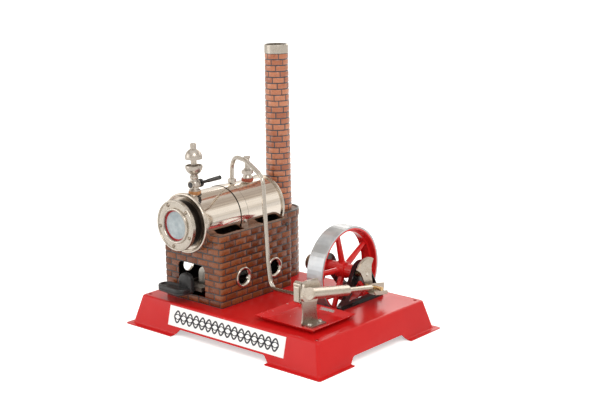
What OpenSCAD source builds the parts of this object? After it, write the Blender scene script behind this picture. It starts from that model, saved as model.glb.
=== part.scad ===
// Model steam engine: brick boiler house with a horizontal boiler, chimney, whistle and
// safety valve, driving a flywheel through an oscillating cylinder on a pressed steel base.
// Frame: X along the labelled front, Y from the sight glass to the chimney, Z up.
// The origin is the middle of the base's underside.

/* [Base] */
// Length of the base over its foot flange, along X
base_l = 205; // [195:1:215]
// Depth of the base over its foot flange, along Y
base_d = 148.4; // [145:0.1:156]
// Height of the base's top plate
base_h = 24; // [22:0.5:28]
// Thickness of the pressed sheet
sheet = 0.9; // [0.6:0.1:1.2]
// Radius of the four corner holes
corner_hole_r = 1.5; // [1:0.1:2]

/* [Boiler house] */
// Width of the brick house, along X
house_w = 62.8; // [60:0.1:66]
// Depth of the brick house, along Y
house_d = 81.1; // [79:0.1:83]
// Height of the brick house above the base
house_h = 57.2; // [56:0.1:59]
// Clear radius of the side vents
vent_r = 6.3; // [5:0.1:6.6]

/* [Chimney] */
// Outer radius of the chimney's foot
chimney_r1 = 10.6; // [10:0.1:11.5]
// Outer radius of the chimney's top
chimney_r2 = 9.3; // [8.8:0.1:9.6]
// Height of the chimney's mouth above the floor
chimney_top = 217.6; // [190:1:240]
// Outer radius of the half-round chimney base
tower_r = 15.8; // [14:0.1:17]

/* [Boiler] */
// Outer radius of the boiler drum
boiler_r = 22.5; // [22:0.1:22.8]
// Radius of the rolled boiler flanges
flange_r = 23.7; // [23.4:0.1:24.2]
// Height of the boiler's axis
boiler_z = 88.8; // [88:0.1:90]
// Outer radius of the sight-glass ring
gauge_r = 19.9; // [19:0.1:20.5]

/* [Engine] */
// Crank throw, from the axle to the crank pin
throw = 10.3; // [9:0.1:10.5]
// Angle of the crank pin at rest, from +Y towards +Z
crank_angle = -76; // [-85:1:-70]
// Radius of the cylinder barrel
barrel_r = 4.2; // [4.1:0.1:4.6]
// Radius of the cylinder bore
cyl_bore_r = 3.3; // [3.1:0.1:3.4]
// Radius of the piston rod
rod_r = 2.2; // [1.8:0.1:2.3]

/* [Flywheel] */
// Outer radius of the flywheel
wheel_r = 35.1; // [33:0.1:35.5]
// Width of the flywheel's rim
wheel_w = 14.8; // [12:0.1:15]
// Number of spokes
spokes = 5; // [4:1:6]
// Radius of the axle
axle_r = 1.5; // [1.2:0.1:1.8]

/* [Hidden] */
$fn = 64;

run_gap = 0.05;      // radial clearance of every running fit
touch = 0.02;        // gap between faces that only rest on each other
cut = 1;             // how far cutters run past a face

// Base
base_flange = 4.2;
base_lean = 5.74;
base_corner_r = 3;
wall_l = base_l - 2 * base_flange;
wall_d = base_d - 2 * base_flange;
top_l = wall_l - 2 * base_lean;
top_d = wall_d - 2 * base_lean;
hole_inset = 4.9;
hole_dx = top_l - 2 * hole_inset;
hole_dy = top_d - 2 * hole_inset;
arch_h = 5.5;
front_arch = 50;     // half width of the foot arch in the long sides, at the floor
side_arch = 34.5;    // half width of the foot arch in the short sides, at the floor
arch_slope = 6;
label_l = 121.6;
label_h = 15.6;
label_x = 2.6;
label_t = 0.4;

// Boiler house
house_x = -46.1;
house_y0 = -51.6;
house_y1 = house_y0 + house_d;
house_x0 = house_x - house_w / 2;
house_x1 = house_x + house_w / 2;
house_top_z = base_h + house_h;
wall_t = 0.8;
house_corner_r = 2;
vent_y = [-27.4, 8.2];
vent_z = 44.3;
vent_ring_r = 8.2;
fire_x0 = -62;
fire_x1 = -32.2;
fire_z0 = 29.6;
fire_z1 = 55;
fire_corner_r = 4;

// Chimney
tower_y = 50.3;
cap_h = 7;
cap_r = chimney_r2 + 0.4;
flue_wall = 0.7;
cap_z0 = chimney_top - cap_h;

// Boiler
drum_y0 = -56;
drum_y1 = 29;
drum_wall = 0.7;
front_flange_y = -59;
back_flange_y = 31.6;
gauge_y0 = -68.7;
gauge_y1 = -65.7;
gauge_neck_r = 15;
glass_r = 11;
gauge_screw_pcd_r = 16.8;
strap_y0 = -18.6;
strap_w = 8;
strap_t = 0.5;
boiler_top_z = boiler_z + boiler_r;

// Whistle and safety valve
whistle_y = -46.4;
plug_z = 117.6;
plug_r = 2.2;
valve_y = 12.8;
valve_bore_r = 1.25;

// Steam pipe, drawn in the upright plane from the boiler to the port block
pipe_r = 1.7;
pipe_y = -5.2;
port_y = -40.6;
port_z = 46;

// Engine
axis_y = 27.3;
axis_z = 48.3;
pivot_y = -37.5;
pivot_z = 50.4;
cyl_x = 71;          // plane of the cylinder's axis
face_x = 62;         // face that the cylinder slides on
stand_t = 1.2;
block_t = 5;
block_x0 = face_x - stand_t - block_t;
pin_y = axis_y + throw * cos(crank_angle);
pin_z = axis_z + throw * sin(crank_angle);
cyl_angle = atan2(pin_z - pivot_z, pin_y - pivot_y);
rod_len = norm([pin_y - pivot_y, pin_z - pivot_z]);
dead_centre = norm([axis_y - pivot_y, axis_z - pivot_z]) - throw;
cyl_back = -10.5;
cyl_front = 34;
piston_l = 7;
piston_back = cyl_back + 2.5 + rod_len - dead_centre + 0.5;

// Flywheel
wheel_x = 41.5;
hub_r = 5.3;
hub_l = 30;
rim_t = 2.6;
spoke_phase = 121.6;
stand_foot = 27;
stand_top_r = 10.4;
stand_flange = 3.4;
near_web_x = 57;
far_web_x = 26;
crank_x = 64.2;
crank_t = 1.2;
pulley_x = 7.6;
pulley_w = 4;
pulley_r = 6.4;

// Colours
red = "#c81414";
brick = "#8a4a2c";
copper_brick = "#b5694a";
nickel = "#c9c2b4";
zinc = "#b4b7ba";
black = "#1c1c1c";

// ---------------------------------------------------------------- helpers

module rounded_rect(l, d, r)
{
    x = l / 2 - r;
    y = d / 2 - r;
    square([l, 2 * y], center = true);
    square([2 * x, d], center = true);
    for (sx = [-1, 1], sy = [-1, 1])
        translate([sx * x, sy * y])
            circle(r);
}

// A round part lying along Y from y, on the boiler's axis
module on_boiler(y)
{
    translate([house_x, y, boiler_z])
        rotate([-90, 0, 0])
            children();
}

// A round part lying along +X from x, at the given Y and Z
module along_x(x, y, z)
{
    translate([x, y, z])
        rotate([0, 90, 0])
            children();
}

// A flat outline in (Y, Z) made t thick, from x towards +X
module plate_x(x, t)
{
    translate([x, 0, 0])
        rotate([90, 0, 90])
            linear_extrude(t)
                children();
}

module ring(r_out, r_in, h)
{
    rotate_extrude()
        translate([r_in, 0])
            square([r_out - r_in, h]);
}

// Children drawn in the cylinder's frame: X across, Y along the bore towards the crank
module in_cylinder()
{
    translate([0, pivot_y, pivot_z])
        rotate([cyl_angle, 0, 0])
            children();
}

// A round part along the cylinder's bore, starting at t from the pivot
module on_bore(t)
{
    in_cylinder()
        translate([cyl_x, t, 0])
            rotate([-90, 0, 0])
                children();
}

function arc(cx, cy, r, a0, a1, n) =
    [for (i = [0 : n]) [cx + r * cos(a0 + (a1 - a0) * i / n), cy + r * sin(a0 + (a1 - a0) * i / n)]];

// Round-wire coil along +Z, as one swept tube
module coil(r, wire, turns, pitch)
{
    sides = 8;
    steps = 16;
    n = turns * steps;
    pts = [for (i = [0 : n], j = [0 : sides - 1])
        let (a = 360 * i / steps, b = 360 * j / sides, q = r + wire * cos(b))
            [q * cos(a), q * sin(a), pitch * i / steps + wire * sin(b)]];
    walls = [for (i = [0 : n - 1], j = [0 : sides - 1])
        let (k = (j + 1) % sides)
            [i * sides + j, (i + 1) * sides + j, (i + 1) * sides + k, i * sides + k]];
    ends = [[for (j = [0 : sides - 1]) j], [for (j = [sides - 1 : -1 : 0]) n * sides + j]];
    polyhedron(pts, concat(walls, ends), convexity = 10);
}

// ---------------------------------------------------------------- base

module base_solid(l, d, h, lean, r)
{
    hull()
    {
        linear_extrude(0.01)
            rounded_rect(l, d, r);
        translate([0, 0, h - 0.01])
            linear_extrude(0.01)
                rounded_rect(l - 2 * lean, d - 2 * lean, r);
    }
}

module arch_2d(half)
{
    polygon([[-half - 1, -cut], [half + 1, -cut], [half, 0], [half - arch_slope + 1.5, arch_h - 0.6],
        [half - arch_slope, arch_h], [-half + arch_slope, arch_h],
        [-half + arch_slope - 1.5, arch_h - 0.6], [-half, 0]]);
}

module base_plate()
{
    color(red)
        difference()
        {
            union()
            {
                base_solid(wall_l, wall_d, base_h, base_lean, base_corner_r);
                linear_extrude(sheet)
                    rounded_rect(base_l, base_d, base_corner_r + 1);
            }
            translate([0, 0, -0.02])
                base_solid(wall_l - 2 * sheet, wall_d - 2 * sheet, base_h - sheet + 0.02,
                    base_lean, base_corner_r);
            rotate([90, 0, 0])
                translate([0, 0, -base_d])
                    linear_extrude(2 * base_d)
                        arch_2d(front_arch);
            rotate([90, 0, 90])
                translate([0, 0, -base_l])
                    linear_extrude(2 * base_l)
                        arch_2d(side_arch);
            for (sx = [-1, 1], sy = [-1, 1])
                translate([sx * hole_dx / 2, sy * hole_dy / 2, base_h - sheet - cut])
                    cylinder(r = corner_hole_r, h = sheet + 2 * cut);
            // Slot that the flywheel runs in
            translate([wheel_x - wheel_w / 2 - 2, -1, base_h - sheet - cut])
                cube([wheel_w + 4, 56.6, sheet + 2 * cut]);
        }
}

module label_plate()
{
    lean_angle = atan2(base_lean, base_h);
    color("white")
        translate([label_x, -wall_d / 2, 0])
            rotate([-lean_angle, 0, 0])
                translate([-label_l / 2, -label_t - touch, 7.2])
                    cube([label_l, label_t, label_h]);
}

// ---------------------------------------------------------------- boiler house

module house_block(inset)
{
    translate([house_x, (house_y0 + house_y1) / 2])
        rounded_rect(house_w - 2 * inset, house_d - 2 * inset, house_corner_r - inset / 2);
}

module boiler_house()
{
    color(brick)
        difference()
        {
            translate([0, 0, base_h + touch])
                linear_extrude(house_h - touch)
                    difference()
                    {
                        house_block(0);
                        house_block(wall_t);
                    }
            // Firebox mouth in the front wall
            translate([0, house_y0 - cut, 0])
                rotate([-90, 0, 0])
                    linear_extrude(wall_t + 2 * cut)
                        mirror([0, 1])
                            firebox_2d();
            for (y = vent_y)
                along_x(house_x0 - cut, y, vent_z)
                    cylinder(r = vent_r, h = house_w + 2 * cut);
            // Saddles that the boiler lies in
            on_boiler(house_y0 - cut)
                cylinder(r = boiler_r + touch, h = house_d + 2 * cut);
            back_flange_seat();
        }
}

// Room that the boiler's back flange needs in the walls around it
module back_flange_seat()
{
    on_boiler(drum_y1)
        cylinder(r = flange_r + touch, h = back_flange_y + touch - drum_y1);
}

module firebox_2d()
{
    r = fire_corner_r;
    translate([fire_x0, fire_z0])
        square([fire_x1 - fire_x0, fire_z1 - fire_z0 - r]);
    translate([fire_x0 + r, fire_z0])
        square([fire_x1 - fire_x0 - 2 * r, fire_z1 - fire_z0]);
    for (x = [fire_x0 + r, fire_x1 - r])
        translate([x, fire_z1 - r])
            circle(r);
}

module house_top()
{
    slot_half = 27;
    slots = [[-44.4, -18.7], [1.2, 26.5]];
    color(brick)
        difference()
        {
            translate([0, 0, house_top_z - wall_t])
                linear_extrude(wall_t)
                    house_block(wall_t + touch);
            // Slots beside the boiler that let the hot gas out
            for (s = slots)
                translate([house_x, (s[0] + s[1]) / 2, house_top_z - 2])
                    linear_extrude(4)
                        rounded_rect(2 * slot_half, s[1] - s[0], 2.4);
            on_boiler(house_y0 - cut)
                cylinder(r = boiler_r + touch, h = house_d + 2 * cut);
        }
}

// Flared grommets in the side vents
module side_vent_rings()
{
    outer = vent_r - touch;
    inner = outer - 0.6;
    profile = concat([[inner, -1.6], [outer, -1.6], [outer, touch], [vent_ring_r, touch]],
        arc(vent_ring_r - 1, 0.8, 1, 0, 150, 8), [[inner, 0.2]]);
    color(nickel)
        for (y = vent_y, side = [0, 1])
            mirror_house(side)
                along_x(house_x1, y, vent_z)
                    rotate_extrude()
                        polygon(profile);
}

module mirror_house(side)
{
    translate([house_x, 0, 0])
        mirror([side, 0, 0])
            translate([-house_x, 0, 0])
                children();
}

module house_rivets()
{
    color(black)
        for (side = [0, 1])
            mirror_house(side)
                along_x(house_x1 + touch, house_y1 - 5.3, house_top_z - 4.6)
                    cylinder(r1 = 1.3, r2 = 0.9, h = 0.9);
}

// ---------------------------------------------------------------- chimney

module tower_2d(r, y0)
{
    translate([house_x, tower_y])
        circle(r);
    translate([house_x - r, y0])
        square([2 * r, tower_y - y0]);
}

module chimney_base()
{
    lip = 0.8;
    color(brick)
        translate([0, 0, base_h + touch])
            difference()
            {
                union()
                {
                    linear_extrude(house_h - 0.4)
                        tower_2d(tower_r, house_y1 + touch);
                    translate([0, 0, house_h - 6])
                        linear_extrude(6)
                            tower_2d(tower_r + lip, house_y1 + touch);
                }
                translate([0, 0, -cut])
                    linear_extrude(house_h + 2 * cut)
                        tower_2d(tower_r - wall_t, house_y1 + touch + wall_t);
                translate([0, 0, -base_h - touch])
                    back_flange_seat();
            }
}

module chimney_base_cover()
{
    color("#6d5a50")
        translate([0, 0, house_top_z - 1.4])
            linear_extrude(0.8)
                difference()
                {
                    tower_2d(tower_r - wall_t - touch, house_y1 + touch + wall_t + touch);
                    translate([house_x, tower_y])
                        circle(chimney_r1 + touch);
                }
}

module chimney()
{
    z0 = house_top_z - 3;
    h = cap_z0 + 1 - z0;
    color(copper_brick)
        translate([house_x, tower_y, z0])
            difference()
            {
                cylinder(r1 = chimney_r1, r2 = chimney_r2, h = h);
                translate([0, 0, -0.01])
                    cylinder(r1 = chimney_r1 - flue_wall, r2 = chimney_r2 - flue_wall, h = h + 0.02);
            }
}

module chimney_cap()
{
    sleeve = chimney_r2 + touch + 0.02;
    color(nickel)
        translate([house_x, tower_y, cap_z0])
            rotate_extrude()
                polygon(concat([[sleeve, 0], [cap_r, 0], [cap_r, cap_h - 0.6]],
                    arc(cap_r - 0.6, cap_h - 0.6, 0.6, 0, 90, 4),
                    [[chimney_r2 - flue_wall, cap_h], [chimney_r2 - flue_wall, 1.1], [sleeve, 1.1]]));
}

// ---------------------------------------------------------------- boiler

module boiler_drum()
{
    color(nickel)
        difference()
        {
            on_boiler(drum_y0)
                ring(boiler_r, boiler_r - drum_wall, drum_y1 - drum_y0);
            for (y = [whistle_y, pipe_y, valve_y])
                translate([house_x, y, boiler_z])
                    cylinder(r = 1.6, h = 2 * boiler_r);
        }
}

// Rolled flange around a dished end, with the neck that carries the sight glass
module boiler_front_cap()
{
    depth = drum_y0 - front_flange_y;
    neck = front_flange_y - gauge_y1;
    color(nickel)
        on_boiler(front_flange_y)
            rotate_extrude()
                polygon(concat([[glass_r + 1, -neck], [gauge_neck_r, -neck], [gauge_neck_r, 1.4],
                    [20.5, 1.4], [21.6, 0.4]],
                    arc(flange_r - 1, 0.9, 1, 215, 360, 8),
                    [[flange_r, depth - touch], [boiler_r - drum_wall - touch, depth - touch],
                    [boiler_r - drum_wall - touch, depth + 3], [boiler_r - drum_wall - 1, depth + 3],
                    [boiler_r - drum_wall - 1, 2.4], [glass_r + 1, 2.4]]));
}

module boiler_back_cap()
{
    depth = back_flange_y - drum_y1;
    color(nickel)
        on_boiler(drum_y1)
            rotate_extrude()
                polygon(concat([[0, depth - 1.6], [19.5, depth - 1.6], [20.6, depth - 0.4]],
                    arc(flange_r - 1, depth - 1, 1, 130, 0, 8),
                    [[flange_r, touch], [boiler_r - drum_wall - touch, touch],
                    [boiler_r - drum_wall - touch, -3], [boiler_r - drum_wall - 1, -3],
                    [boiler_r - drum_wall - 1, depth - 2.6], [0, depth - 2.6]]));
}

module gauge_ring()
{
    t = gauge_y1 - gauge_y0;
    color(nickel)
        difference()
        {
            on_boiler(gauge_y0)
                rotate_extrude()
                    polygon(concat(arc(glass_r + 2, -0.1, 1, 180, 345, 8),
                        [[glass_r + 3.2, 0.6], [gauge_r - 1.52, 0.6]],
                        arc(gauge_r - 0.75, 0.55, 0.75, 180, 360, 8),
                        [[gauge_r, t - touch], [glass_r + 1, t - touch]]));
            gauge_screw_places()
                translate([0, 0, 0.5])
                    cylinder(r = 0.9, h = 4);
        }
}

module gauge_screw_places()
{
    on_boiler(gauge_y0)
        for (i = [0 : 4])
            rotate([0, 0, -44.5 - 72 * i])
                translate([gauge_screw_pcd_r, 0, 0])
                    children();
}

module gauge_screws()
{
    color("#a8a093")
        gauge_screw_places()
        {
            translate([0, 0, -0.4])
                cylinder(r1 = 1, r2 = 1.5, h = 1 - touch);
            translate([0, 0, 0.3])
                cylinder(r = 0.85, h = 1.8);
        }
}

module gauge_glass()
{
    color("#b9c6c9", 0.6)
        on_boiler(gauge_y0 + 1.7)
            cylinder(r = glass_r - 0.1, h = 1);
}

module gauge_gasket()
{
    color("#a02020")
        on_boiler(gauge_y0 + 1.6)
            ring(glass_r + 0.96, glass_r - 0.08, 1.3);
}

module boiler_strap()
{
    reach = 103;
    r = boiler_r + touch;
    color(nickel)
    {
        on_boiler(strap_y0)
            rotate([0, 0, -90 - reach])
                rotate_extrude(angle = 2 * reach)
                    translate([r, 0])
                        square([strap_t, strap_w]);
        // Tails that pass down into the house
        for (side = [0, 1])
            mirror_house(side)
                translate([house_x + r * sin(reach) + 0.03, strap_y0, house_top_z + touch])
                    cube([strap_t, strap_w, boiler_z + r * cos(reach) - house_top_z + 0.2]);
    }
}

module strap_screws()
{
    color("#8f877a")
        for (side = [0, 1])
            mirror_house(side)
                along_x(house_x + boiler_r + strap_t + 2 * touch, strap_y0 + strap_w / 2, boiler_z - 3)
                    cylinder(r1 = 1.5, r2 = 1.1, h = 0.9);
}

// ---------------------------------------------------------------- whistle

module flat_on_drum(y, r, top_z)
{
    difference()
    {
        translate([house_x, y, boiler_top_z - 1])
            cylinder(r = r, h = top_z - boiler_top_z + 1);
        on_boiler(y - 2 * r)
            cylinder(r = boiler_r + touch, h = 4 * r);
        translate([house_x, y, boiler_top_z - 2])
            cylinder(r = 1.7, h = 10);
    }
}

module whistle_gasket()
{
    color("#b0743c")
        flat_on_drum(whistle_y, 4.9, 112.4);
}

module whistle_body()
{
    color(nickel)
        translate([house_x, whistle_y, 0])
            difference()
            {
                union()
                {
                    translate([0, 0, 112.4 + touch])
                        rotate_extrude()
                            polygon([[0, 0], [4.4, 0], [4.4, 1.1], [3.3, 1.6], [3.3, 3], [3.8, 4],
                                [3.8, 6.4], [3.3, 7.4], [3, 9.4], [3.4, 10.4], [3.4, 11.8], [0, 11.8]]);
                    translate([0, -4.4, plug_z])
                        rotate([-90, 0, 0])
                            cylinder(r = 3.1, h = 8.2);
                    translate([0, 0, 110])
                        cylinder(r = 1.5, h = 3);
                }
                translate([0, -6, plug_z])
                    rotate([-90, 0, 0])
                        cylinder(r = plug_r + run_gap, h = 12);
            }
}

module whistle_plug()
{
    color(black)
        translate([house_x, whistle_y - 4.7, plug_z])
            rotate([-90, 0, 0])
                cylinder(r = plug_r, h = 10.6);
}

module whistle_lever()
{
    y = whistle_y + 4.4;
    tilt = 18;
    color(black)
        translate([house_x, y, plug_z])
            rotate([0, -tilt, 0])
            {
                difference()
                {
                    rotate([-90, 0, 0])
                        cylinder(r = 3.3, h = 2.8);
                    translate([0, -cut, 0])
                        rotate([-90, 0, 0])
                            cylinder(r = plug_r + touch, h = 2.8 + 2 * cut);
                }
                translate([3, 1.4, 0])
                    rotate([0, 90, 0])
                        cylinder(r1 = 1.3, r2 = 1.2, h = 7);
                translate([9.8, 1.4, 0])
                    rotate([0, 90, 0])
                        cylinder(r1 = 1.5, r2 = 1.7, h = 13.6);
            }
}

whistle_r = 6.65;
whistle_cup_z = 124.2 + 2 * touch;
whistle_bell_z = 137.4 + touch;
// Height of the flat that the stem stands on inside the cup
whistle_seat = 2;

module whistle_cup()
{
    r = whistle_r + 0.2;
    wall = 0.7;
    mouth = 8.3;
    color(nickel)
        translate([house_x, whistle_y, whistle_cup_z])
            rotate_extrude()
                polygon(concat([[0, 0], [2.6, 0]], arc(0, 7.6, r, -64, -4, 10),
                    [[whistle_r, mouth], [whistle_r - wall, mouth]], arc(0, 7.6, r - wall, -4, -64, 10),
                    [[2.6, whistle_seat], [0, whistle_seat]]));
}

module whistle_stem()
{
    z = whistle_cup_z + whistle_seat + touch;
    color("#b9b4a8")
        translate([house_x, whistle_y, z])
            cylinder(r = 2.3, h = whistle_bell_z - touch - z);
}

module whistle_bell()
{
    r = whistle_r;
    color(nickel)
        translate([house_x, whistle_y, whistle_bell_z])
            rotate_extrude()
                polygon(concat([[0, 0], [5.6, 0], [r, 0.1], [r, 0.7]], arc(-0.6, 1.2, r + 0.7, 8, 66, 10),
                    [[2.3, 8.6], [2.5, 9.6], [2.5, 11.4]], arc(1.5, 11.4, 1, 20, 90, 4), [[0, 12.4]]));
}

// ---------------------------------------------------------------- safety valve

module valve_gasket()
{
    color("#8c3320")
        flat_on_drum(valve_y, 4.9, 112.6);
}

module valve_body()
{
    z = 112.6 + touch;
    color(nickel)
        translate([house_x, valve_y, z])
            difference()
            {
                union()
                {
                    rotate_extrude()
                        polygon([[0, 0], [4.1, 0], [4.1, 0.8], [3.2, 2.6], [3, 3.8], [0, 3.8]]);
                    translate([0, 0, 3.6])
                        cylinder(r = 4.9, h = 2.8, $fn = 6);
                    cylinder(r = 3, h = 7);
                }
                translate([0, 0, -cut])
                    cylinder(r = valve_bore_r, h = 10);
                // Chamber of the closing spring
                translate([0, 0, 1])
                    cylinder(r = 2.5, h = 4.4);
            }
}

module valve_stem()
{
    z = 112.6;
    color(nickel)
        translate([house_x, valve_y, z])
        {
            translate([0, 0, 0.4])
                cylinder(r = valve_bore_r - run_gap, h = 8);
            // Collar that the spring presses on
            translate([0, 0, 1.1])
                cylinder(r = 2.3, h = 0.4);
            translate([0, 0, 7.3])
                rotate_extrude()
                    polygon([[0, 0], [2.6, 0], [2.6, 0.7], [2.1, 0.9], [2, 7.6], [2.2, 9], [2.8, 9.4],
                        [2.8, 10.3], [2.4, 10.6], [0, 10.6]]);
        }
}

module valve_spring()
{
    color("#9a9a96")
        translate([house_x, valve_y, 114.45])
            coil(1.9, 0.3, 3.5, 0.9);
}

// ---------------------------------------------------------------- steam pipe

pipe_dir = atan2(port_y - pipe_y, block_x0 - house_x);
pipe_run = norm([block_x0 - house_x, port_y - pipe_y]);
// Corners of the route as (distance from the boiler's fitting, height), and the bend radii
pipe_pts = [[0, 115.2], [1.8, 134.2], [25, 134], [52.8, 125.6], [58.6, 60.5], [63.2, 40],
    [pipe_run - 2.4, port_z - 0.2]];
pipe_bend = [0, 12, 25, 9, 16, 8, 0];

function unit(v) = v / norm(v);

// Length lost to the bend at corner i
function bend_cut(i) =
    i == 0 || i == len(pipe_pts) - 1 ? 0 :
    let (u = unit(pipe_pts[i] - pipe_pts[i - 1]), w = unit(pipe_pts[i + 1] - pipe_pts[i]))
        pipe_bend[i] * tan(acos(u * w) / 2);

// Each straight laps a little over the slightly slimmer elbows, so that they join cleanly
pipe_lap = 0.35;
elbow_slim = 0.03;

module pipe_straight(i, r)
{
    u = unit(pipe_pts[i + 1] - pipe_pts[i]);
    a = pipe_pts[i] + u * (bend_cut(i) - (i > 0 ? pipe_lap : 0));
    b = pipe_pts[i + 1] - u * (bend_cut(i + 1) - (i < len(pipe_pts) - 2 ? pipe_lap : 0));
    translate([a[0], 0, a[1]])
        rotate([0, 90 - atan2(u[1], u[0]), 0])
            cylinder(r = r, h = norm(b - a));
}

module pipe_elbow(i, r)
{
    u = unit(pipe_pts[i] - pipe_pts[i - 1]);
    w = unit(pipe_pts[i + 1] - pipe_pts[i]);
    turn = acos(u * w);
    side = u[0] * w[1] - u[1] * w[0] > 0 ? 1 : -1;
    centre = pipe_pts[i] - u * bend_cut(i) + side * pipe_bend[i] * [-u[1], u[0]];
    start = atan2(-side * u[0], side * u[1]);
    translate([centre[0], 0, centre[1]])
        rotate([90, 0, 0])
            rotate([0, 0, side > 0 ? start : start - turn])
                rotate_extrude(angle = turn)
                    translate([pipe_bend[i], 0])
                        circle(r);
}

module in_pipe_plane()
{
    translate([house_x, pipe_y, 0])
        rotate([0, 0, pipe_dir])
            children();
}

module steam_pipe()
{
    color(nickel)
        in_pipe_plane()
        {
            for (i = [0 : len(pipe_pts) - 2])
                pipe_straight(i, pipe_r);
            for (i = [1 : len(pipe_pts) - 2])
                pipe_elbow(i, pipe_r - elbow_slim);
        }
}

module pipe_union_nut()
{
    color(nickel)
        difference()
        {
            union()
            {
                flat_on_drum(pipe_y, 2.9, 112.4);
                translate([house_x, pipe_y, 112.3])
                    cylinder(r = 3.4, h = 2.7 - touch, $fn = 6);
            }
            translate([house_x, pipe_y, 111])
                cylinder(r = 1, h = 10);
        }
}

// Collar that joins the pipe to the port block's face
module pipe_ferrule()
{
    last = pipe_pts[len(pipe_pts) - 1];
    // The pipe comes in at a small slope, so its seat is a loose one
    lap = 0.8;
    loose = 0.3;
    r = pipe_r + loose;
    color(nickel)
        difference()
        {
            in_pipe_plane()
                translate([last[0] - lap, 0, last[1]])
                    rotate([0, 90, 0])
                        difference()
                        {
                            cylinder(r1 = r + 0.3, r2 = r + 0.8, h = 5);
                            translate([0, 0, -cut])
                                cylinder(r = r, h = lap + cut + loose);
                        }
            translate([block_x0 - touch, port_y - 10, port_z - 10])
                cube([10, 20, 20]);
        }
}

// ---------------------------------------------------------------- burner

tray_x0 = -60;
tray_x1 = -35.5;
tray_y0 = -53;
tray_y1 = 14;
tray_z = 34;

// Fixed rails inside the house that the burner slides on
module burner_guide()
{
    t = 0.8;
    w = 6.6;
    l = 62;
    h = tray_z - base_h - touch - 0.1;
    color("#55504c")
        for (x = [tray_x0 - 1.6, tray_x1 - 5])
            translate([x, -44, base_h + touch])
            {
                cube([w, l, t]);
                translate([x < house_x ? 0 : w - t, 0, 0])
                    cube([t, l, h]);
                translate([0, 0, h - t])
                    cube([w, l, t]);
            }
}

module burner_tray()
{
    color("#7c7872")
        difference()
        {
            translate([tray_x0, tray_y0, tray_z])
                cube([tray_x1 - tray_x0, tray_y1 - tray_y0, 3]);
            translate([tray_x0 + 0.8, tray_y0 + 8, tray_z + 0.8])
                cube([tray_x1 - tray_x0 - 1.6, tray_y1 - tray_y0 - 8.8, 4]);
        }
}

// Sheet cradle with round-topped ends that holds the tablets
module fuel_basket()
{
    t = 0.7;
    w = 13;
    x0 = tray_x1 - w - 2;
    color(nickel)
        translate([0, 0, tray_z + 0.8 + touch])
        {
            translate([x0, tray_y0 + 12, 0])
                cube([w, 46, t]);
            for (y = [tray_y0 + 12, tray_y0 + 28, tray_y0 + 42, tray_y0 + 58 - t])
            {
                translate([x0, y, 0])
                    cube([w, t, 9]);
                translate([x0 + w / 2, y, 9])
                    rotate([-90, 0, 0])
                        cylinder(r = w / 2, h = t);
            }
        }
}

module fuel_tablets()
{
    color("#f0ede6")
        for (i = [0 : 2])
            translate([tray_x1 - 13.5, tray_y0 + 13.5 + 15.2 * i, tray_z + 1.7])
                cube([10, 12.6, 6]);
}

module burner_handle()
{
    z0 = 31.6;
    t = 5.4;
    back = tray_y0 - 0.2;
    color(black)
    {
        translate([0, 0, z0])
            hull()
            {
                translate([-67.4, -60.4, 0])
                    cylinder(r = 6.4, h = t);
                translate([-50.5, -61.2, 0])
                    cylinder(r = 6.8, h = t);
                translate([-58, back - 5, 0])
                    cube([14, 5, t]);
            }
        translate([-49.6, -57.4, 41])
            rotate([-90, 0, 0])
                cylinder(r = 7, h = back + 57.4);
        translate([-56.6, -57.4, z0 + 1])
            cube([14, back + 57.4, 9]);
    }
}

// ---------------------------------------------------------------- drip tray and engine

tray_pan_x = [22.5, 80.5];
tray_pan_y = [-55, -5.5];
tray_pan_h = 4;
tray_pan_slope = 5;

module pan(grow, z0, z1)
{
    hull()
    {
        translate([tray_pan_x[0] + tray_pan_slope - grow, tray_pan_y[0] + tray_pan_slope - grow, z0])
            cube([tray_pan_x[1] - tray_pan_x[0] - 2 * tray_pan_slope + 2 * grow,
                tray_pan_y[1] - tray_pan_y[0] - 2 * tray_pan_slope + 2 * grow, 0.01]);
        translate([tray_pan_x[0] - grow, tray_pan_y[0] - grow, z1])
            cube([tray_pan_x[1] - tray_pan_x[0] + 2 * grow, tray_pan_y[1] - tray_pan_y[0] + 2 * grow,
                0.01]);
    }
}

module drip_tray()
{
    color(red)
        translate([0, 0, base_h + touch])
            difference()
            {
                pan(0, 0, tray_pan_h);
                pan(-0.9, 0.8, tray_pan_h + 0.1);
            }
}

stand_floor = base_h + touch + 0.8 + touch;
stand_y = -36.8;

// Waisted upright with the pivot hole, and a foot bent towards +X
module engine_stand()
{
    z0 = stand_floor;
    half_foot = 8.9;
    half_waist = 7.6;
    half_top = 10;
    waist_r = 26;
    left = arc(-half_waist - waist_r, z0 + 10, waist_r, -18, 18, 8);
    color(nickel)
        difference()
        {
            union()
            {
                plate_x(face_x - stand_t, stand_t)
                    translate([stand_y, 0])
                        polygon(concat([[-half_foot, z0]], left, [[-half_top, 44], [-half_top, 55]],
                            arc(-half_top + 2, 56, 2, 180, 90, 4), arc(half_top - 2, 56, 2, 90, 0, 4),
                            [[half_top, 44]], [for (i = [len(left) - 1 : -1 : 0]) [-left[i][0], left[i][1]]],
                            [[half_foot, z0]]));
                translate([face_x - stand_t, stand_y - 7.9, z0])
                    cube([10.2, 15.8, stand_t]);
            }
            along_x(face_x - 5, pivot_y, pivot_z)
                cylinder(r = axle_r + run_gap, h = 10);
        }
}

module stand_screws()
{
    color("#d8d4cc")
        for (y = [stand_y - 5, stand_y + 6.4])
            translate([face_x + 4, y, stand_floor + stand_t + touch])
                difference()
                {
                    cylinder(r1 = 1.9, r2 = 1.4, h = 1.1);
                    translate([-2.5, -0.25, 0.6])
                        cube([5, 0.5, 2]);
                }
}

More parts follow.
